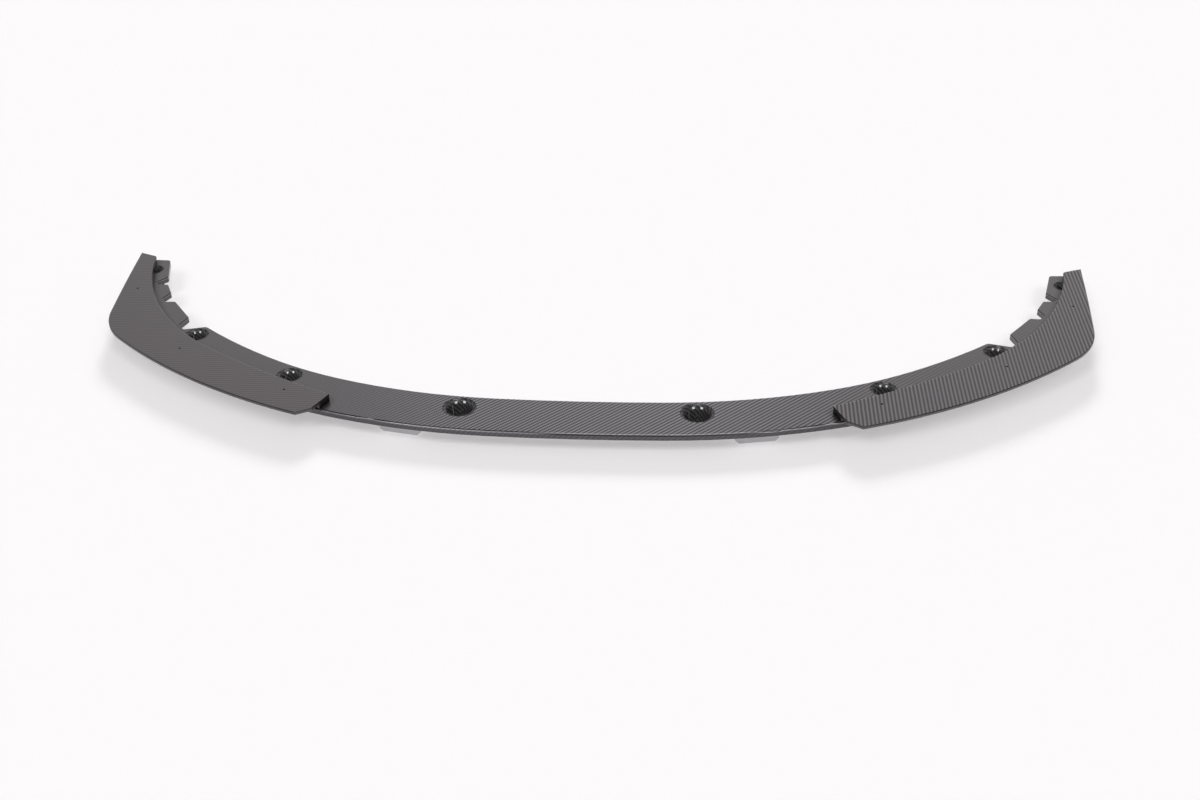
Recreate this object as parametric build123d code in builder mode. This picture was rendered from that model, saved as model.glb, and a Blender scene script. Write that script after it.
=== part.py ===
from build123d import *
from math import cos, hypot, radians, tan
import os

# Front splitter lip: a moulded carbon blade that follows a car's bumper, with a raised wing over each end.
#
# Millimetres, +Z up. X runs across the car, -Y is the front edge that leads into the wind.
# The lip stands on the floor of its screw pockets, and the origin is on that floor, in the middle of the lip's plan.
#
# The whole plan is laid out from one line, the sweep line, just ahead of the blade's rear edge: at the side distance s
# it has swept back by sweep_rise * (s / sweep_half) ** sweep_power. A plan point is a pair (s, ahead): walk out to s on
# the sweep line, then step the distance ahead squarely off it, towards the front. A negative step goes behind the line.

# Sweep line
sweep_half = 672.0
sweep_rise = 208.0
sweep_power = 2.7
edge_arcs = 5

# Blade: steps off the sweep line to its rear edge, its front edge, and its front edge beside the hump
rear_ahead = -2.0
front_ahead = 93.0
hump_ahead = 58.8
blade_skin = 3.0
rim_height = 10.0
rim_wall = 3.5
blade_round = 3.0
rear_chamfer = 1.0
hump_s = 678.0
hump_round = 9.0
taper_start_s = 430.0
taper_end_s = 630.0

# Lugs beyond the hump: the neck under the wing, then the corners of the edge round to the notch beside the hump
neck_run = 60.0
neck_end = (866.0, 2.0)
lug_corners = [
    (889.0, -36.0), (874.0, -65.1), (832.9, -37.0), (828.8, -10.2), (821.7, -11.5), (814.2, -25.3), (791.7, -16.4),
    (785.3, 5.0), (775.0, 6.1), (767.1, -7.8), (717.3, 2.2), (708.6, 28.1), (694.7, 31.5),
]
lug_round = 4.5

# Screw pockets: place off the sweep line, and radius of the wall where its line meets the blade's top
# The wing covers half of the tip's pocket, so that one is straight and a driver still gets down to its screw
pockets = [(187.5, 31.0, 20.5), (478.8, 25.5, 15.0), (669.8, 26.4, 14.2)]
tip_pocket = (861.4, -27.2, 10.0)
pocket_depth = 38.0
pocket_wall = 2.5
pocket_draft = 6.0
pocket_round = 7.0
pocket_flare = 4.0
screw_hole_radius = 3.25

# Wings
wing_rise = 12.0
wing_skin = 3.0
wing_lip = 7.0
wing_wall = 3.0
wing_end_rear = (384.0, 61.3)
wing_inner_edge = [(501.2, 50.6), (613.6, 48.5)]
wing_tip_inner = (878.6, -43.3)
wing_tip_outer = (897.7, -24.5)
wing_tip_round = 8.0
wing_end_front = (404.4, 129.4)
wing_front_edge = [(566.5, 131.0), (720.0, 135.0)]
wing_corner = (781.1, 104.1)
wing_end_bend = (388.7, 108.0)
wing_end_round = 3.0
wing_edge_chamfer = 0.8
wing_under_chamfer = 2.0
rib_recess = 0.5
rib_wall = 4.0
wing_holes = [(449.6, 80.0), (642.5, 82.7), (813.3, 32.3)]
wing_hole_radius = 2.25

# Support pads under the blade
pad_s = 274.0
pad_ahead = 56.0
pad_length = 70.0
pad_thickness = 20.0
pad_chamfer = 6.0


def sweep_point(s, ahead):
    """Plan point at the side distance s on the sweep line, stepped squarely off it towards the front."""
    side = 1 if s >= 0 else -1
    reach = abs(s) / sweep_half
    slope = sweep_rise * sweep_power / sweep_half * reach ** (sweep_power - 1)
    length = hypot(1, slope)
    return (s + side * ahead * slope / length, sweep_rise * reach ** sweep_power - ahead / length)


def both_sides(s, ahead, z):
    """A plan point and its mirror image, at the height z."""
    x, y = sweep_point(s, ahead)
    return [(x, plan_y + y, z), (-x, plan_y + y, z)]


def blade_front(s):
    """Front edge of the blade: all the way ahead in the middle, eased back to the hump's width under the wing."""
    share = (abs(s) - taper_start_s) / (taper_end_s - taper_start_s)
    share = min(max(share, 0), 1)
    eased = share * share * (3 - 2 * share)
    return sweep_point(s, front_ahead + (hump_ahead - front_ahead) * eased)


# Levels and the plan's own plane, whose origin is the middle of the sweep line
blade_top = pocket_depth
wing_top = blade_top + wing_rise
wing_under = wing_top - wing_skin
tip_y = sweep_point(*wing_tip_outer)[1]
plan_y = (front_ahead - tip_y) / 2
on_floor = (Align.CENTER, Align.CENTER, Align.MIN)


def level(z):
    """The plan's plane at the height z."""
    return Plane((0, plan_y, z))


def arc_chain(points):
    """Arcs through the points, each tangent to the one before, setting out straight across the car."""
    direction = (1, 0)
    for start, end in zip(points, points[1:]):
        arc = TangentArc(start, end, tangent=direction)
        direction = arc % 1
    return arc


def round_plug(foot, head, height, mode=Mode.ADD):
    """A round plug that stands on its place: a cone, or a cylinder where both ends are alike."""
    if foot == head:
        return Cylinder(foot, height, align=on_floor, mode=mode)
    return Cone(foot, head, height, align=on_floor, mode=mode)


stations = [hump_s * i / edge_arcs for i in range(edge_arcs + 1)]

with BuildSketch(level(blade_top)) as blade_plan:
    with BuildLine():
        rear = arc_chain([sweep_point(s, rear_ahead) for s in stations])
        front = arc_chain([blade_front(s) for s in stations])
        neck = Polyline(front @ 1, front @ 1 + neck_run * (front % 1), sweep_point(*neck_end))
        FilletPolyline(neck @ 1, *[sweep_point(*place) for place in lug_corners], rear @ 1, radius=lug_round)
        Line(sweep_point(0, rear_ahead), blade_front(0))
    half = make_face()
    mirror(half, about=Plane.YZ)

with BuildSketch(level(wing_top)) as wing_plan:
    with BuildLine():
        lead = ThreePointArc(*[sweep_point(*place) for place in (wing_end_front, *wing_front_edge)])
        corner = TangentArc(lead @ 1, sweep_point(*wing_corner), tangent=lead % 1)
        side = TangentArc(corner @ 1, sweep_point(*wing_tip_outer), tangent=corner % 1)
        inner = ThreePointArc(*[sweep_point(*place) for place in (wing_end_rear, *wing_inner_edge)])
        bend = TangentArc(inner @ 1, sweep_point(*wing_tip_inner), tangent=inner % 1)
        Line(side @ 1, bend @ 1)
        Polyline(inner @ 0, sweep_point(*wing_end_bend), lead @ 0)
    make_face()


with BuildPart() as main_blade:
    extrude(blade_plan.sketch, amount=-rim_height)
    posts = main_blade.edges().filter_by(Axis.Z)
    fillet([posts.sort_by_distance(spot)[0] for spot in both_sides(hump_s, rear_ahead, blade_top)], hump_round)
    # Each runs on along every edge that is tangent to the one named, as far as the neck's two corners
    fillet(main_blade.edges().sort_by_distance((0, plan_y - front_ahead, blade_top))[0], blade_round)
    chamfer(main_blade.edges().sort_by_distance((0, plan_y - rear_ahead, blade_top))[0], rear_chamfer)
    with BuildSketch(level(blade_top - rim_height)):
        offset(blade_plan.sketch_local, amount=-rim_wall)
    extrude(amount=rim_height - blade_skin, mode=Mode.SUBTRACT)
    cups = [(*pocket, tan(radians(pocket_draft))) for pocket in pockets] + [(*tip_pocket, 0)]
    cup_height = pocket_depth - blade_skin
    mouth_knee = pocket_round * (1 - cos(radians(45)))
    for s, ahead, mouth, lean in cups:
        outside = mouth + pocket_wall
        with Locations(*both_sides(s, ahead, 0)):
            round_plug(outside - pocket_depth * lean, outside - blade_skin * lean, cup_height)
        # The cup flares where it meets the skin, so the wall stays whole behind its rounded mouth
        with Locations(*both_sides(s, ahead, cup_height - pocket_flare)):
            round_plug(outside - pocket_flare, outside + pocket_flare, pocket_flare)
    for s, ahead, mouth, lean in cups:
        bore = pocket_depth - pocket_wall
        with Locations(*both_sides(s, ahead, pocket_wall)):
            round_plug(mouth - bore * lean, mouth, bore, Mode.SUBTRACT)
            Cylinder(screw_hole_radius, 2 * pocket_wall, mode=Mode.SUBTRACT)
        # Two flats follow the round of the mouth
        with Locations(*both_sides(s, ahead, blade_top - pocket_round)):
            foot = mouth - pocket_round * lean
            round_plug(foot, mouth + mouth_knee, pocket_round - mouth_knee, Mode.SUBTRACT)
        with Locations(*both_sides(s, ahead, blade_top - mouth_knee)):
            round_plug(mouth + mouth_knee, mouth + pocket_round, mouth_knee, Mode.SUBTRACT)
main_blade.part.label = "main_blade"

with BuildPart() as right_wing:
    extrude(wing_plan.sketch, amount=-wing_lip)
    posts = right_wing.edges().filter_by(Axis.Z)
    tip_spot, end_spot, front_spot = [
        both_sides(*place, wing_top)[0] for place in (wing_tip_inner, wing_end_rear, wing_end_front)
    ]
    fillet(posts.sort_by_distance(tip_spot)[0], wing_tip_round)
    fillet([posts.sort_by_distance(spot)[0] for spot in (end_spot, front_spot)], wing_end_round)
    chamfer(right_wing.faces().sort_by(Axis.Z)[-1].edges(), wing_edge_chamfer)
    chamfer(right_wing.faces().sort_by(Axis.Z)[0].edges(), wing_under_chamfer)
    with BuildSketch(level(wing_top - wing_lip)):
        offset(wing_plan.sketch_local, amount=-wing_wall)
        add(blade_plan.sketch_local)
    extrude(amount=wing_lip - wing_skin, mode=Mode.SUBTRACT)
    with BuildSketch(level(wing_under)) as rib:
        offset(wing_plan.sketch_local, amount=-rib_recess)
        for corner, radius in ((wing_tip_inner, wing_tip_round), (wing_end_rear, wing_end_round)):
            nearest = rib.vertices().sort_by_distance((*sweep_point(*corner), 0))[0]
            fillet(nearest, radius - rib_recess)
        offset(wing_plan.sketch_local, amount=-rib_recess - rib_wall, mode=Mode.SUBTRACT)
        offset(blade_plan.sketch_local, amount=-blade_round, mode=Mode.INTERSECT)
    extrude(amount=wing_skin - wing_rise)
    with Locations(*[both_sides(*place, wing_top)[0] for place in wing_holes]):
        Cylinder(wing_hole_radius, 2 * wing_skin, mode=Mode.SUBTRACT)
right_wing.part.label = "right_wing"

with BuildPart() as left_wing:
    mirror(right_wing.part, about=Plane.YZ)
left_wing.part.label = "left_wing"

with BuildPart() as right_pad:
    start, end = [Vector(*both_sides(pad_s + step, pad_ahead, 0)[0]) for step in (-1, 1)]
    with BuildSketch(Plane((start + end) / 2, x_dir=end - start)):
        Rectangle(pad_length, pad_thickness)
    extrude(amount=blade_top - blade_skin)
    ends = right_pad.edges().group_by(Axis.Z)[0].filter_by(lambda edge: edge.length < pad_length)
    chamfer(ends, pad_chamfer)
right_pad.part.label = "right_support_pad"

with BuildPart() as left_pad:
    mirror(right_pad.part, about=Plane.YZ)
left_pad.part.label = "left_support_pad"

os.makedirs("parts", exist_ok=True)
for piece in (main_blade, left_wing, right_wing, left_pad, right_pad):
    export_step(piece.part, f"parts/{piece.part.label}.step")
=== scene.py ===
# %% [markdown]
# A front splitter lip in carbon twill.
# The lip is a moulded carbon laminate: a long flat blade with deep screw pockets, and a raised wing plate
# over each end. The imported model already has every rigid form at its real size, so this lesson keeps those
# solids where they are.
# What is left to make is the finish: the weave under its satin clear coat, the glossy pockets, the light
# and the camera.

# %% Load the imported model
import math

import bpy
import numpy as np
from mathutils import Matrix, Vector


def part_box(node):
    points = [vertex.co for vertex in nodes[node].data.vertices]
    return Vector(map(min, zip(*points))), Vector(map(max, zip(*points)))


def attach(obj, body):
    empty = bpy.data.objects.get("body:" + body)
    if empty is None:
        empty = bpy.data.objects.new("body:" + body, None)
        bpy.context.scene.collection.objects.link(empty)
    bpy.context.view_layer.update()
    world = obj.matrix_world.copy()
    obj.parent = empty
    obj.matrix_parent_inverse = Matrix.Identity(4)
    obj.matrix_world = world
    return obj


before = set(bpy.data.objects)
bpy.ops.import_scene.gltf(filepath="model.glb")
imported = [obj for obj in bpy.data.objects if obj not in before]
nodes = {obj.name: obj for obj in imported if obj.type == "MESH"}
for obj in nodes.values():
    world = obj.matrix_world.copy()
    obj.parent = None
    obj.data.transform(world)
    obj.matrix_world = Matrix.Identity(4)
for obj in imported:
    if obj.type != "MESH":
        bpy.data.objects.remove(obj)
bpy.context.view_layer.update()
MM = 0.001

# %% [markdown]
# Three small helpers serve every material.
# Colours are written as sRGB hex values, the way they are read off a picture, and Blender's sockets want
# linear light, so the first helper turns one into the other.
# The second adds a shader node: its settings by name, and for each socket either a value or the output that
# it is linked to. The third starts a new material.


# %% Colour and node helpers
def linear(hex_colour):
    """sRGB hex to linear RGBA.

    A channel up to 0.04045 is divided by 12.92. Above that it is ((c + 0.055) / 1.055) to the power 2.4.
    """
    srgb = np.array([int(hex_colour[i:i + 2], 16) for i in (1, 3, 5)]) / 255
    low, high = srgb / 12.92, ((srgb + 0.055) / 1.055) ** 2.4
    return (*np.where(srgb <= 0.04045, low, high), 1.0)


def add_node(tree, kind, inputs=None, **settings):
    """Add one node, whose kind is written without Blender's prefix ShaderNode.

    Settings are the node's own properties, and inputs gives sockets a value or an output to link to.
    """
    node = tree.nodes.new("ShaderNode" + kind)
    for name, value in settings.items():
        setattr(node, name, value)
    for key, value in (inputs or {}).items():
        if isinstance(value, bpy.types.NodeSocket):
            tree.links.new(value, node.inputs[key])
        else:
            node.inputs[key].default_value = value
    return node


def new_material(name):
    """An empty node material and its tree, with the output node already in place."""
    material = bpy.data.materials.new(name)
    material.use_nodes = True
    tree = material.node_tree
    tree.nodes.clear()
    return material, tree, add_node(tree, "OutputMaterial")


print("pure white reads", linear("#FFFFFF"))

# %% [markdown]
# Carbon twill is a cloth of flat black tows, each a ribbon of thousands of fibres.
# In a 2x2 twill every tow passes over two and under two of its neighbours, one step later in each row,
# and those steps line up as the slanting stripes that make carbon easy to know.
# It could be painted as plain stripes, but the real cloth is two sets of ribbons that shine across their own
# fibres. So the pattern is worked out from the cloth's own grid: which set is on top, how round the ribbon
# is there, and which way its fibres run. Their shine is also painted into the colour: the two sets get
# different tones as painted sheen, and the dips get painted shade. The clear coat lies over it all.

# %% Carbon twill
# A tow of 3000 fibres is about 2 mm wide
TOW_WIDTH = 2.2 * MM
TOWS_OVER = 2
REPEAT = 2 * TOWS_OVER
# Painted shade in the dips between tows, and a little painted light on their crowns
DIP_SHADE, CROWN_SHADE = 0.7, 1.08


def draped_cloth(tree, turn_deg, top):
    """Cloth coordinates in tows: the plan turned by turn_deg, run on down a side.

    A point on a side counts as moved out along its normal by how far it lies below the top.
    """
    place = add_node(tree, "TexCoord").outputs
    height = add_node(tree, "SeparateXYZ", {0: place["Object"]}).outputs[2]
    depth = add_node(tree, "Math", {0: top, 1: height}, operation="SUBTRACT").outputs[0]
    down = add_node(tree, "VectorMath", {0: place["Normal"], "Scale": depth}, operation="SCALE").outputs[0]
    laid = add_node(tree, "VectorMath", {0: place["Object"], 1: down}, operation="ADD").outputs[0]
    turned = (0, 0, -math.radians(turn_deg))
    in_tows = (1 / TOW_WIDTH,) * 3
    return add_node(tree, "Mapping", {"Vector": laid, "Rotation": turned, "Scale": in_tows}).outputs[0]


def twill_weave(tree, cloth):
    """Whether the warp is on top, and the tow's height there from 0 to 1, for cloth coordinates in tows.

    The warp lies on top where floor(u) + floor(v), divided by four, leaves 0 or 1. From 1, a tow's height
    falls by half of (2 fract - 1) squared across it, and along it by half the fourth power of the way from
    the middle of its float.
    """
    threads = add_node(tree, "SeparateXYZ", {0: cloth}).outputs
    cells = [add_node(tree, "Math", {0: threads[i]}, operation="FLOOR").outputs[0] for i in (0, 1)]
    diagonal = add_node(tree, "Math", {0: cells[0], 1: cells[1]}, operation="ADD").outputs[0]
    step = add_node(tree, "Math", {0: diagonal, 1: REPEAT}, operation="FLOORED_MODULO").outputs[0]
    warp_on_top = add_node(tree, "Math", {0: step, 1: TOWS_OVER - 0.5}, operation="LESS_THAN").outputs[0]
    heights = []
    for across, along, middle in ((0, 1, TOWS_OVER / 2), (1, 0, REPEAT - TOWS_OVER / 2)):
        walk = add_node(tree, "Math", {0: threads[along], 1: cells[across]}, operation="ADD").outputs[0]
        phase = add_node(tree, "Math", {0: walk, 1: REPEAT}, operation="FLOORED_MODULO").outputs[0]
        away = add_node(tree, "Math", {0: phase, 1: middle}, operation="SUBTRACT").outputs[0]
        dip = add_node(tree, "Math", {0: away, 1: 4.0}, operation="POWER").outputs[0]
        share = add_node(tree, "Math", {0: threads[across]}, operation="FRACT").outputs[0]
        side = add_node(tree, "Math", {0: share, 1: 2.0, 2: -1.0}, operation="MULTIPLY_ADD").outputs[0]
        fall = add_node(tree, "Math", {0: side, 1: 2.0}, operation="POWER").outputs[0]
        drop = add_node(tree, "Math", {0: dip, 1: fall}, operation="ADD").outputs[0]
        height = add_node(tree, "Math", {0: drop, 1: -0.5, 2: 1.0}, operation="MULTIPLY_ADD").outputs[0]
        heights.append(height)
    warp, weft = heights
    return warp_on_top, add_node(tree, "Mix", {0: warp_on_top, 2: weft, 3: warp}).outputs[0]


def twill_colour(tree, warp_on_top, height, warp_sheen_hex, weft_sheen_hex):
    """Each tow's colour, warp and weft set apart by painted sheen, with painted shade where it dips under its
    neighbour.
    """
    sets = {0: warp_on_top, 6: linear(weft_sheen_hex), 7: linear(warp_sheen_hex)}
    tow = add_node(tree, "Mix", sets, data_type="RGBA").outputs[2]
    shade = add_node(tree, "MapRange", {0: height, 3: DIP_SHADE, 4: CROWN_SHADE}).outputs[0]
    return add_node(tree, "VectorMath", {0: tow, "Scale": shade}, operation="SCALE").outputs[0]


print("twill stripes every", REPEAT * TOW_WIDTH / math.sqrt(2) / MM, "mm")

# %% [markdown]
# The edges show bright and dark lines where they mirror the light. A lamp high behind shines in the shoulder
# of each edge and leaves it pale, and the dark room in front shows in the hollow just under it, which stays
# dark. Away from the middle the blade's edge rolls over further, and there the dark line lies above the pale
# one. Both lines are painted into the colour: a painted highlight on the shoulder and a painted reflection
# of the dark room under it.
# Those lines could be thin pieces of their own, but the surface itself knows where it is. How far it faces
# up tells the place on an edge, and ambient occlusion finds the screw holes and corners that no light
# reaches, and paints shade there. A bevel finds the sharp edges that fall off behind, and there a painted
# highlight makes the wings pale.

# %% Painted light along the edges
# How far the surface faces up, from 0 on a side to 1 on top, and how many times its own tone it has there, as
# painted highlight and painted dark reflection
EDGE_PAINTED_LIGHT = {0.02: 0.86, 0.12: 0.25, 0.74: 0.25, 0.82: 3.6, 0.97: 4.0, 0.996: 1.0}
SIDE_PAINTED_LIGHT = {0.02: 0.86, 0.12: 1.9, 0.66: 1.9, 0.76: 0.15, 0.985: 0.15, 0.998: 1.0}
TONE_SCALE = 4.0
EDGE_SAMPLES = 4
# Ambient occlusion paints shade into hemmed-in places, and a bevel paints a pale highlight on edges that fall
# off behind
HEMMED_IN, HEMMED_BELOW, OPEN_ABOVE, HEMMED_SHADE = 14 * MM, 0.5, 0.95, 0.04
PALE_EDGE_RADIUS, LEANS_FROM, LEANS_TO, PALE_EDGE_TONE = 2.4 * MM, 0.08, 0.4, 3.2


def tone_along(tree, facing_up, tones):
    """Tone by how far the surface faces up: straight from each of the tones to the next.

    The ramp's stops are the tones over TONE_SCALE, so that they are colours from 0 to 1, and TONE_SCALE
    multiplies what comes out.
    """
    ramp = add_node(tree, "ValToRGB", {0: facing_up})
    stops = ramp.color_ramp.elements
    for facing, tone in tones.items():
        stops.new(facing).color = (*[tone / TONE_SCALE] * 3, 1)
    for default in (0, -1):
        stops.remove(stops[default])
    return add_node(tree, "Math", {0: ramp.outputs[0], 1: TONE_SCALE}, operation="MULTIPLY").outputs[0]


def painted_shade_and_highlight(tree, tone):
    """The tone, times painted shade by how open the place is, and up again as a painted highlight where an
    edge falls off behind.
    """
    air = add_node(tree, "AmbientOcclusion", {"Distance": HEMMED_IN}, samples=EDGE_SAMPLES).outputs["AO"]
    shading = {0: air, 1: HEMMED_BELOW, 2: OPEN_ABOVE, 3: HEMMED_SHADE, 4: 1.0}
    shade = add_node(tree, "MapRange", shading).outputs[0]
    rounded = add_node(tree, "Bevel", {"Radius": PALE_EDGE_RADIUS}, samples=EDGE_SAMPLES).outputs[0]
    lean = add_node(tree, "SeparateXYZ", {0: rounded}).outputs[1]
    pale_edge_range = {0: lean, 1: LEANS_FROM, 2: LEANS_TO, 3: 1.0, 4: PALE_EDGE_TONE}
    pale_edge = add_node(tree, "MapRange", pale_edge_range).outputs[0]
    shaded = add_node(tree, "Math", {0: tone, 1: shade}, operation="MULTIPLY").outputs[0]
    return add_node(tree, "Math", {0: shaded, 1: pale_edge}, operation="MULTIPLY").outputs[0]


print("edge tones", EDGE_PAINTED_LIGHT, "beside the middle", SIDE_PAINTED_LIGHT)

# %% [markdown]
# The carbon doesn't look alike everywhere. Towards the blade's ends, and all over the left wing, both sets of
# tows lie at the same slant to the light, so their two tones come close together, and the blade's grey turns
# a little warmer and darker. Just under the edge on the wings' sides, the side mirrors the dark room in front
# as a dark line.
# All this light and shade is painted into the colour: the weave's painted sheen fades, the ends get painted
# shade, and the dark line is a painted reflection. Masks could be drawn for it, but places on the lip, in
# millimetres, say it as well and stay exact.

# %% Painted sheen and shade over the blade and down the sides
SHEEN_MIDDLE, SHEEN_CLEAR_TO, SHEEN_FADE_OVER = 120 * MM, 270 * MM, 250 * MM
FLAT_FROM, FLAT_TO, WEAVE_OFF_FLAT = 0.985, 0.998, 0.2
SWAP_FROM, SWAP_TO = 145 * MM, 190 * MM
# Painted shade, darker and warmer, towards the blade's ends
END_SHADE_FROM, END_SHADE_TO = 150 * MM, 480 * MM
# A painted reflection of the dark room: a dark line down the wings' sides, just under the edge
DARK_LINE_DOWN, DARK_LINE_FADES = 1.3 * MM, 2.6 * MM
TOP_FROM, TOP_TO = 0.9, 0.99


def weave_sheen_share(tree, away, facing_up, faded):
    """How much of the weave's painted sheen shows: all of it up to SHEEN_CLEAR_TO away, less the share faded
    over SHEEN_FADE_OVER beyond.

    Off the flat top, only WEAVE_OFF_FLAT of that is left.
    """
    fading = {0: away, 1: SHEEN_CLEAR_TO, 2: SHEEN_CLEAR_TO + SHEEN_FADE_OVER, 3: 1.0, 4: 1 - faded}
    spread = add_node(tree, "MapRange", fading, interpolation_type="SMOOTHSTEP").outputs[0]
    flat = {0: facing_up, 1: FLAT_FROM, 2: FLAT_TO, 3: WEAVE_OFF_FLAT, 4: 1.0}
    on_top = add_node(tree, "MapRange", flat).outputs[0]
    return add_node(tree, "Math", {0: spread, 1: on_top}, operation="MULTIPLY").outputs[0]


def painted_end_shade(tree, from_middle, end_shade_hex):
    """Painted shade towards the ends: white up to END_SHADE_FROM from the middle, eased to the colour
    end_shade_hex at END_SHADE_TO.
    """
    span = {0: from_middle, 1: END_SHADE_FROM, 2: END_SHADE_TO}
    share = add_node(tree, "MapRange", span, interpolation_type="SMOOTHSTEP").outputs[0]
    mixed = {0: share, 6: linear("#FFFFFF"), 7: linear(end_shade_hex)}
    return add_node(tree, "Mix", mixed, data_type="RGBA").outputs[2]


def painted_dark_line(tree, level, facing_up, top, side_dark):
    """Painted dark reflection down a side: run as far as DARK_LINE_DOWN below the top, back to 1 at
    DARK_LINE_FADES. On the top it is 1.
    """
    side = add_node(tree, "MapRange", {0: level, 1: top - DARK_LINE_DOWN, 2: top - DARK_LINE_FADES, 3: side_dark, 4: 1.0})
    on_top = add_node(tree, "MapRange", {0: facing_up, 1: TOP_FROM, 2: TOP_TO, 3: 0.0, 4: 1.0})
    return add_node(tree, "Math", {0: side.outputs[0], 1: on_top.outputs[0]}, operation="MAXIMUM").outputs[0]


def painted_edge_lines(tree, away, facing_up, swapped):
    """Painted edge light: EDGE_PAINTED_LIGHT, and where the lines are swapped, a blend to SIDE_PAINTED_LIGHT
    from SWAP_FROM to SWAP_TO away.
    """
    lines = tone_along(tree, facing_up, EDGE_PAINTED_LIGHT)
    if not swapped:
        return lines
    beside = add_node(tree, "MapRange", {0: away, 1: SWAP_FROM, 2: SWAP_TO}).outputs[0]
    side_lines = tone_along(tree, facing_up, SIDE_PAINTED_LIGHT)
    return add_node(tree, "Mix", {0: beside, 2: lines, 3: side_lines}).outputs[0]


print("weave is clear from", (SHEEN_MIDDLE - SHEEN_CLEAR_TO) / MM, "to", (SHEEN_MIDDLE + SHEEN_CLEAR_TO) / MM, "mm")

# %% [markdown]
# On top, the clear coat was rubbed down to a satin, so it mirrors the room only as a soft grey sheen.
# Graphite conducts, so under the coat the fibres shine as a dark metal does, along the line across each tow:
# the Tangent socket carries that direction. Dark plastic would be simpler, but it loses the silky grey of
# the tops.

# %% Satin carbon for the blade and the wings
BLADE_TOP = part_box("main_blade")[1][2]
WING_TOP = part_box("right_wing")[1][2]
BLADE_ROUND = 3.0 * MM
SATIN_RELIEF = {"Strength": 0.3, "Distance": 0.08 * MM}
SATIN = {"Metallic": 1.0, "Roughness": 0.5, "Anisotropic": 0.8, "Coat Weight": 0.8, "Coat Roughness": 0.26}


def satin_carbon(name, turn_deg, top, warp_sheen_hex, weft_sheen_hex, faded=0.0, end_shade_hex="#FFFFFF", side_dark=1.0,
                 edge_round=None):
    """Twill under a satin coat, its warp turned by turn_deg.

    Round an edge of radius edge_round, how far the surface faces up is its height in the round over that
    radius, which runs on smoothly where the normal steps from facet to facet.
    """
    material, tree, output = new_material(name)
    warp_on_top, height = twill_weave(tree, draped_cloth(tree, turn_deg, top))
    place = add_node(tree, "TexCoord").outputs
    sideways, _, level = add_node(tree, "SeparateXYZ", {0: place["Object"]}).outputs
    facing_up = add_node(tree, "SeparateXYZ", {0: place["Normal"]}).outputs[2]
    if edge_round:
        facing_up = add_node(tree, "MapRange", {0: level, 1: top - edge_round, 2: top}).outputs[0]
    from_middle = add_node(tree, "Math", {0: sideways}, operation="ABSOLUTE").outputs[0]
    reach = add_node(tree, "Math", {0: sideways, 1: SHEEN_MIDDLE}, operation="SUBTRACT").outputs[0]
    away = add_node(tree, "Math", {0: reach}, operation="ABSOLUTE").outputs[0]

    shows = weave_sheen_share(tree, away, facing_up, faded)
    tow_mix = add_node(tree, "Mix", {0: shows, 2: 0.5, 3: warp_on_top}).outputs[0]
    twill = twill_colour(tree, tow_mix, height, warp_sheen_hex, weft_sheen_hex)
    end_shading = painted_end_shade(tree, from_middle, end_shade_hex)
    cloth = add_node(tree, "VectorMath", {0: twill, 1: end_shading}, operation="MULTIPLY").outputs[0]
    lines = painted_shade_and_highlight(tree, painted_edge_lines(tree, away, facing_up, bool(edge_round)))
    side_darkening = painted_dark_line(tree, level, facing_up, top, side_dark)
    tone = add_node(tree, "Math", {0: lines, 1: side_darkening}, operation="MULTIPLY").outputs[0]
    colour = add_node(tree, "VectorMath", {0: cloth, "Scale": tone}, operation="SCALE").outputs[0]

    turn = math.radians(turn_deg)
    across_weft, across_warp = (-math.sin(turn), math.cos(turn), 0), (math.cos(turn), math.sin(turn), 0)
    fibres = {0: warp_on_top, 4: across_weft, 5: across_warp}
    across = add_node(tree, "Mix", fibres, data_type="VECTOR").outputs[1]
    relief = add_node(tree, "Bump", {**SATIN_RELIEF, "Height": height}).outputs[0]
    surface = {**SATIN, "Base Color": colour, "Tangent": across, "Normal": relief}
    shader = add_node(tree, "BsdfPrincipled", surface)
    tree.links.new(shader.outputs[0], output.inputs["Surface"])
    return material


# Each finish's two tow colours differ by painted sheen; the left wing's lie close, as its tows catch the
# light alike
finishes = {
    "main_blade": satin_carbon("blade_carbon_twill", 90.0, BLADE_TOP, "#7B787C", "#343335", faded=0.8,
                               end_shade_hex="#EAE5E4", edge_round=BLADE_ROUND),
    "right_wing": satin_carbon("right_wing_carbon_twill", -45.0, WING_TOP, "#857E81", "#312E30", side_dark=0.4),
    "left_wing": satin_carbon("left_wing_carbon_twill", 45.0, WING_TOP, "#696263", "#575152", side_dark=0.4),
}
print("satin finishes", [finish.name for finish in finishes.values()])

# %% [markdown]
# The rubbing pad can't reach down into the screw pockets, so there the clear coat keeps the gloss it was
# sprayed with. It also pools: it rounds the pocket's rim and fills the corner round its floor.
# A gloss mask on the blade's own material would show the gloss but not that rounding, which is what catches
# the lights. So each pocket gets its own skin of resin: a profile of rim, wall and floor, carried once round
# the pocket's axis. The flat under the rim is tilted so that the far side of each pocket mirrors the lamps
# that stand in front.

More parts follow.
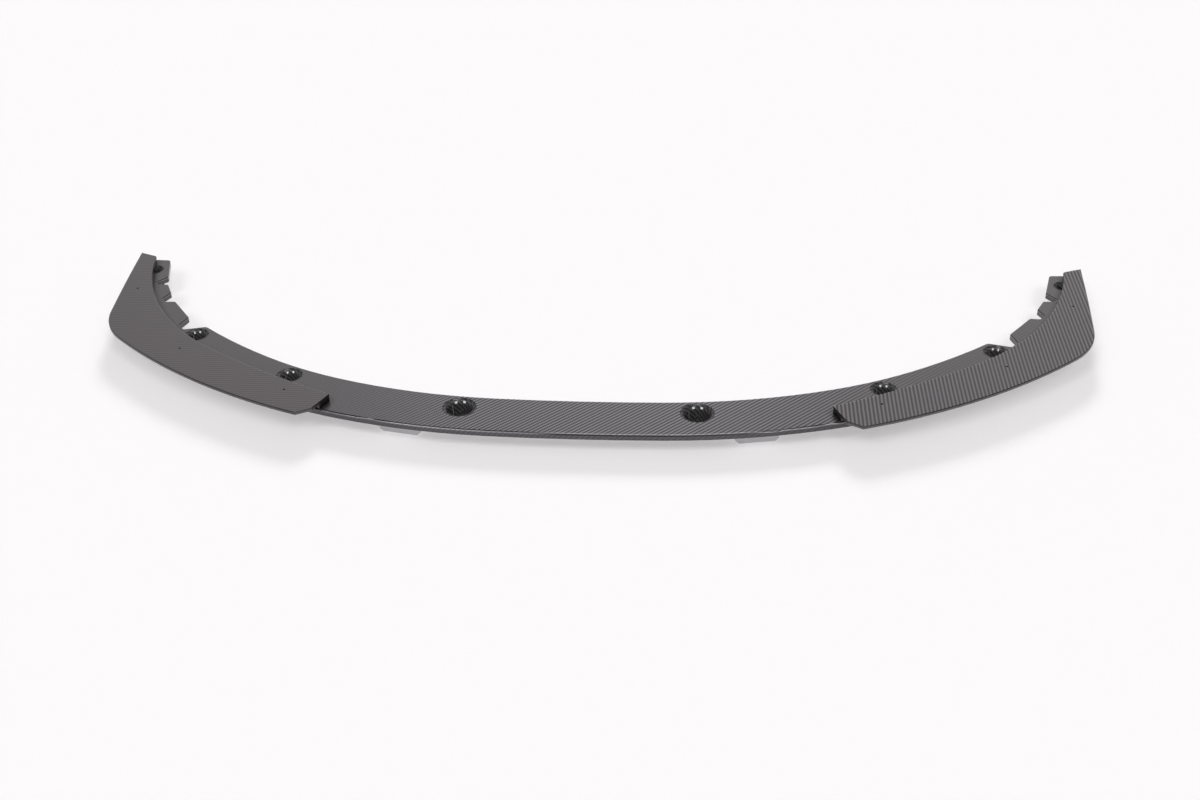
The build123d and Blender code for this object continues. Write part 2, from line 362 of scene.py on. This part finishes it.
# %% Pocket profile
# Place to the side and to the rear of the lip's middle and radius of the mouth in mm, draft in degrees
POCKETS = {
    "middle": (190.44, -212.26, 20.5, 6.0),
    "side": (489.64, -127.82, 15.0, 6.0),
    "corner": (686.67, -2.16, 14.2, 6.0),
    "tip": (840.0, 235.41, 10.0, 0.0),
}
POCKET_DEPTH, POCKET_FLOOR, MOUTH_ROUND = 38.0 * MM, 2.5 * MM, 7.0 * MM
SCREW_HOLE, SKIN, SINK = 3.3 * MM, 0.15 * MM, 1.0 * MM
MOUTH_KNEE_OUT, MOUTH_KNEE_DOWN, WALL_DOWN = 2.5 * MM, 1.3 * MM, 0.9 * MOUTH_ROUND
CORNER_REACH = np.array([2.0, 2.0, 3.0]) * MM
CORNER_POINTS = 9


def pocket_profile(mouth, draft):
    """Radius and height along the skin: crisp edge, two flats of the mouth, wall and floor, corners eased.

    A corner is eased by the parabola that leaves one side and meets the other at the same reach from it.
    A second line, sunk squarely into the carbon by a constant step, runs back and closes the profile.
    """
    lean, floor = math.tan(draft), POCKET_FLOOR + SKIN
    corners = np.array([
        (mouth + MOUTH_ROUND + SKIN, POCKET_DEPTH + SKIN / 2),
        (mouth + MOUTH_KNEE_OUT, POCKET_DEPTH - MOUTH_KNEE_DOWN),
        (mouth - MOUTH_ROUND * lean - SKIN, POCKET_DEPTH - WALL_DOWN),
        (mouth - (POCKET_DEPTH - floor) * lean - SKIN, floor),
        (SCREW_HOLE, floor),
    ])
    sides = np.diff(corners, axis=0)
    sides /= np.linalg.norm(sides, axis=1, keepdims=True)
    reach = CORNER_REACH[:, None, None]
    t = np.linspace(0, 1, CORNER_POINTS)[None, :, None]
    middle, before, after = corners[1:-1, None], sides[:-1, None], sides[1:, None]
    eased = middle - reach * before * (1 - t) ** 2 + reach * after * t ** 2
    start, end = corners[0], corners[-1]
    face = np.vstack([start, start + SKIN * sides[0], eased.reshape(-1, 2), end])
    along = np.gradient(face, axis=0)
    along /= np.linalg.norm(along, axis=1, keepdims=True)
    back = face + SINK * np.column_stack([-along[:, 1], along[:, 0]])
    return np.vstack([face, back[::-1]])


_, _, middle_mouth, middle_draft = POCKETS["middle"]
middle_profile = pocket_profile(middle_mouth * MM, math.radians(middle_draft))
print("profile points", len(middle_profile), "rim out to", middle_profile[0, 0] / MM, "mm")

# %% [markdown]
# The skin's cloth runs round the pocket, so it is drawn on a UV map counted in tows: a whole number of weave
# repeats round the mouth keeps the pattern closed where it starts, and the way down the profile gives the
# other direction. Object coordinates would stretch the weave down the steep wall.

# %% Pocket skins
PLY_SEAM = math.radians(134)


def revolved_skin(name, centre, mouth, draft, segments=96):
    """Carry the closed profile round the axis, starting at the seam.

    The x and y are the centre plus r times (cos, sin), and z is the profile's own height.
    """
    profile = pocket_profile(mouth, draft)
    rows = len(profile)
    angle = PLY_SEAM + np.linspace(0, 2 * math.pi, segments, endpoint=False)
    points = np.empty((segments, rows, 3))
    points[..., 0] = centre[0] + profile[:, 0] * np.cos(angle)[:, None]
    points[..., 1] = centre[1] + profile[:, 0] * np.sin(angle)[:, None]
    points[..., 2] = profile[:, 1]
    i, j = np.meshgrid(np.arange(segments), np.arange(rows), indexing="ij")
    corner_i = np.stack([i, i, i + 1, i + 1], axis=-1)
    corner_j = np.stack([j, j + 1, j + 1, j], axis=-1)
    faces = (corner_i % segments) * rows + corner_j % rows
    mesh = bpy.data.meshes.new(name)
    mesh.from_pydata(points.reshape(-1, 3).tolist(), [], faces.reshape(-1, 4).tolist())
    steps = np.linalg.norm(np.diff(profile, axis=0, append=profile[:1]), axis=1)
    way = np.concatenate([[0], np.cumsum(steps)])
    repeats = round(2 * math.pi * mouth / (REPEAT * TOW_WIDTH))
    tows = np.stack([REPEAT * repeats * corner_i / segments, way[corner_j] / TOW_WIDTH], axis=-1)
    mesh.uv_layers.new(name="tows").data.foreach_set("uv", tows.astype(np.float32).ravel())
    mesh.polygons.foreach_set("use_smooth", np.ones(len(mesh.polygons), dtype=bool))
    skin = bpy.data.objects.new(name, mesh)
    bpy.context.scene.collection.objects.link(skin)
    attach(skin, "root")
    return skin


skins = []
for place, (x, y, mouth, draft) in POCKETS.items():
    for hand, sign in (("left", -1), ("right", 1)):
        name = f"{hand}_{place}_pocket_gloss"
        skins.append(revolved_skin(name, (sign * x * MM, y * MM), mouth * MM, math.radians(draft)))
print("pockets skinned", len(skins))

# %% [markdown]
# Down in a pocket the twill lies deep under a thick gloss coat: nearly black, with the lamps mirrored sharply
# in it. The cloth was cut to length, and where its two ends overlap a ridge runs down the wall; it is drawn
# as a pale line, a painted highlight on the ridge.
# The rubbing pad just reaches the mouth's rim, so there the gloss dies away.
# The gloss could be a darker copy of the satin carbon, but resin this thick hides the metal shine of the
# fibres, so under the coat the cloth is a plain dark colour.

# %% Gloss carbon in the pockets
SEAM_WIDTH = 0.4
RIM_GLOSS = 0.15
GLOSS_RELIEF = {"Strength": 0.25, "Distance": 0.05 * MM}
GLOSS = {"Roughness": 0.3, "IOR": 1.5, "Specular IOR Level": 0.05, "Coat Roughness": 0.03, "Coat IOR": 1.55}


def gloss_carbon(name, warp_sheen_hex, weft_sheen_hex, seam_highlight_hex):
    """Twill on the skin's own UV map, with the seam's painted highlight on the wall and a coat that thins out
    at the rim.
    """
    material, tree, output = new_material(name)
    cloth = add_node(tree, "UVMap", uv_map="tows").outputs[0]
    warp_on_top, height = twill_weave(tree, cloth)
    twill = twill_colour(tree, warp_on_top, height, warp_sheen_hex, weft_sheen_hex)
    way_round = add_node(tree, "SeparateXYZ", {0: cloth}).outputs[0]
    place = add_node(tree, "TexCoord").outputs["Object"]
    level = add_node(tree, "SeparateXYZ", {0: place}).outputs[2]
    wall_top = POCKET_DEPTH - MOUTH_ROUND
    at_seam = add_node(tree, "Math", {0: way_round, 1: SEAM_WIDTH}, operation="LESS_THAN").outputs[0]
    on_wall = add_node(tree, "Math", {0: level, 1: wall_top}, operation="LESS_THAN").outputs[0]
    seam = add_node(tree, "Math", {0: at_seam, 1: on_wall}, operation="MULTIPLY").outputs[0]
    colour = add_node(tree, "Mix", {0: seam, 6: twill, 7: linear(seam_highlight_hex)}, data_type="RGBA").outputs[2]
    thinning = {0: level, 1: POCKET_DEPTH - MOUTH_KNEE_DOWN, 2: POCKET_DEPTH - SKIN, 3: 1.0, 4: RIM_GLOSS}
    coat = add_node(tree, "MapRange", thinning).outputs[0]
    ripple = add_node(tree, "Bump", {**GLOSS_RELIEF, "Height": height}).outputs[0]
    surface = {**GLOSS, "Base Color": colour, "Coat Weight": coat, "Normal": ripple}
    shader = add_node(tree, "BsdfPrincipled", surface)
    tree.links.new(shader.outputs[0], output.inputs["Surface"])
    return material


pocket_gloss = gloss_carbon("pocket_gloss_carbon", "#414041", "#242324", "#8A8886")
for skin in skins:
    skin.data.materials.append(pocket_gloss)
print("gloss finish", pocket_gloss.name, "on", len(skins), "skins")

# %% [markdown]
# The support pads under the blade are plain moulded ABS, pale grey and matt.
# A moulding is never one flat colour: the tool's fine spark grain breaks up its light, and the grey drifts a
# little. The grain could be cut into the mesh, but at this size a bump from noise does the same for the eye.

# %% Pale grey moulded plastic
# Real spark grain is about 0.1 mm wide, too fine to show here, so it is drawn coarser
GRAIN = 0.6 * MM
DRIFT = 10 * GRAIN
DRIFT_DARK, DRIFT_PALE = 0.93, 1.05
GRAIN_RELIEF = {"Strength": 0.3, "Distance": 0.05 * MM}


def moulded_plastic(name, hex_colour):
    """Matt plastic: one noise for the grain of the mould, a coarser one for the drift of its colour."""
    material, tree, output = new_material(name)
    place = add_node(tree, "TexCoord").outputs["Object"]
    grain = add_node(tree, "TexNoise", {"Vector": place, "Scale": 1 / GRAIN, "Detail": 2.0}).outputs[0]
    drift = add_node(tree, "TexNoise", {"Vector": place, "Scale": 1 / DRIFT, "Detail": 3.0}).outputs[0]
    shade = add_node(tree, "MapRange", {0: drift, 3: DRIFT_DARK, 4: DRIFT_PALE}).outputs[0]
    grey = linear(hex_colour)[:3]
    colour = add_node(tree, "VectorMath", {0: grey, "Scale": shade}, operation="SCALE").outputs[0]
    relief = add_node(tree, "Bump", {**GRAIN_RELIEF, "Height": grain}).outputs[0]
    shader = add_node(tree, "BsdfPrincipled", {"Base Color": colour, "Roughness": 0.62, "Normal": relief})
    tree.links.new(shader.outputs[0], output.inputs["Surface"])
    return material


pad_plastic = moulded_plastic("pad_grey_plastic", "#A9A6A9")
finishes["left_support_pad"] = pad_plastic
finishes["right_support_pad"] = pad_plastic
for name, finish in finishes.items():
    nodes[name].data.materials.clear()
    nodes[name].data.materials.append(finish)
print("finished", sorted(finishes))

# %% [markdown]
# The lip lies on pale, matt paper, which takes its soft shadow and mirrors nothing. The sheet could curve up
# behind it as a studio sweep does, but the room is white as well, so a flat square is enough: it is so large
# that its edges are out of sight.

# %% Floor
FLOOR_SIZE = 40.0


def pale_floor(hex_colour):
    """A square of paper on the plane z = 0, as a grid of two by two points."""
    half = FLOOR_SIZE / 2
    points = [(-half, -half, 0), (half, -half, 0), (half, half, 0), (-half, half, 0)]
    mesh = bpy.data.meshes.new("floor")
    mesh.from_pydata(points, [], [(0, 1, 2, 3)])
    floor = bpy.data.objects.new("floor", mesh)
    bpy.context.scene.collection.objects.link(floor)
    material, tree, output = new_material("floor_paper")
    shader = add_node(tree, "BsdfDiffuse", {"Color": linear(hex_colour)})
    tree.links.new(shader.outputs[0], output.inputs["Surface"])
    mesh.materials.append(material)


pale_floor("#FBF9FA")
print("floor", FLOOR_SIZE, "m square")

# %% [markdown]
# The room is white. Behind the lip stands a bright panel, and the satin tops owe their grey to it. The rest
# of the room is darker where gloss mirrors it, which is why the edges that face the camera look dark.
# A panel could be modelled and lit, but a gradient in the world does the same with no object in the way.
# The camera sees plain white, gloss sees the panel and the darker room, and matt surfaces get a plain, even
# light.

# %% Room
PANEL_TOWARD, PANEL_STARTS, PANEL_FULL = (0, 0.83, 0.56), 0.82, 0.97
PANEL_LEVEL, ROOM_GLOSS, ROOM_LEVEL = 1.0, 0.25, 0.16
ROOM_WHITE = "#FDFCFD"

world = bpy.data.worlds.new("studio_room")
bpy.context.scene.world = world
world.use_nodes = True
room = world.node_tree
room.nodes.clear()
toward = add_node(room, "TexCoord").outputs["Generated"]
facing = add_node(room, "VectorMath", {0: toward, 1: PANEL_TOWARD}, operation="DOT_PRODUCT").outputs["Value"]
panel = {0: facing, 1: PANEL_STARTS, 2: PANEL_FULL, 3: ROOM_GLOSS, 4: PANEL_LEVEL}
glow = add_node(room, "MapRange", panel, interpolation_type="SMOOTHSTEP").outputs[0]
rays = add_node(room, "LightPath").outputs
seen_rays = {0: rays["Is Camera Ray"], 1: rays["Is Transmission Ray"]}
seen = add_node(room, "Math", seen_rays, operation="MAXIMUM").outputs[0]
unseen = add_node(room, "Mix", {0: rays["Is Glossy Ray"], 2: ROOM_LEVEL, 3: glow}).outputs[0]
strength = add_node(room, "Mix", {0: seen, 2: unseen, 3: 1.0}).outputs[0]
sky = add_node(room, "Background", {"Color": linear(ROOM_WHITE), "Strength": strength})
room.links.new(sky.outputs[0], add_node(room, "OutputWorld").inputs["Surface"])
print("panel stands", round(math.degrees(math.asin(PANEL_TOWARD[2]))), "degrees up behind the lip")

# %% [markdown]
# The lamps stand far off, so they light the whole floor alike: in Blender that is a sun with a wide angle.
# Two spots stand low in front, left and right of the camera, and each pocket mirrors them as two bright
# points. One more hangs high behind and brightens the shoulder of the front edge. These three throw no
# shadow, because on the real set the floor stays bright under and behind the lip.
# Two softboxes stand higher in front and shade the floor under the wings. The last lamp shines from behind
# and throws the long soft shadow in front. It stands where the tops would mirror it as a glare, so its mirror
# image is left out.

# %% Lights
# Azimuth and elevation in degrees, level, width in degrees, and whether it throws a shadow
LAMPS = {
    "left_spot": (-37, 33, 0.17, 19, False),
    "right_spot": (36, 33, 0.17, 19, False),
    "edge_lamp": (180, 70, 0.09, 16, False),
    "left_softbox": (-34, 50, 0.12, 24, True),
    "right_softbox": (34, 50, 0.12, 24, True),
    "back_lamp": (180, 31.5, 0.19, 16, True),
}


def far_lamp(name, azimuth_deg, elevation_deg, level, width_deg, throws_shadow):
    """A sun from an azimuth, 0 in front and + to the right, and an elevation.

    The level is what it adds to a white floor's tone: its strength times the sine of the elevation, over pi.
    """
    azimuth, elevation = math.radians(azimuth_deg), math.radians(elevation_deg)
    light = bpy.data.lights.new(name, "SUN")
    light.energy = level * math.pi / math.sin(elevation)
    light.angle = math.radians(width_deg)
    light.use_shadow = throws_shadow
    lamp = bpy.data.objects.new(name, light)
    lamp.rotation_euler = (math.pi / 2 - elevation, 0, azimuth)
    bpy.context.scene.collection.objects.link(lamp)
    return lamp


lamps = {name: far_lamp(name, *setting) for name, setting in LAMPS.items()}
lamps["back_lamp"].visible_glossy = False
lamp_levels = sum(level for _, _, level, _, _ in LAMPS.values())
print("a white floor gets", ROOM_LEVEL + lamp_levels, "of full white")

# %% [markdown]
# The camera stands a little right of the middle, about 1.3 m above the floor, and looks down on the lip.
# It could be aimed by eye, but its place and its turns were worked out from the lip's mirrored points, so
# every piece lies where the picture shows it.

# %% Camera
CAMERA_PLACE = np.array([209.77, -2206.15, 1341.96]) * MM
CAMERA_YAW, CAMERA_PITCH, CAMERA_ROLL = np.radians([-4.979, 32.679, -1.297])
LENS, SENSOR = 45.0, 36.0

level_right = np.array([np.cos(CAMERA_YAW), -np.sin(CAMERA_YAW), 0])
level_ahead = np.array([np.sin(CAMERA_YAW), np.cos(CAMERA_YAW), 0])
forward = np.cos(CAMERA_PITCH) * level_ahead - np.sin(CAMERA_PITCH) * np.array([0, 0, 1])
level_up = np.cross(level_right, forward)
right = np.cos(CAMERA_ROLL) * level_right + np.sin(CAMERA_ROLL) * level_up
up = np.cos(CAMERA_ROLL) * level_up - np.sin(CAMERA_ROLL) * level_right
turned = np.eye(4)
turned[:3, :3] = np.column_stack([right, up, -forward])
turned[:3, 3] = CAMERA_PLACE
lens = bpy.data.cameras.new("camera")
lens.lens, lens.sensor_width, lens.sensor_fit = LENS, SENSOR, "HORIZONTAL"
camera = bpy.data.objects.new("camera", lens)
bpy.context.scene.collection.objects.link(camera)
camera.matrix_world = Matrix(turned.tolist())
bpy.context.scene.camera = camera
bpy.context.scene.view_settings.view_transform = "Standard"
print("camera looks along", forward)
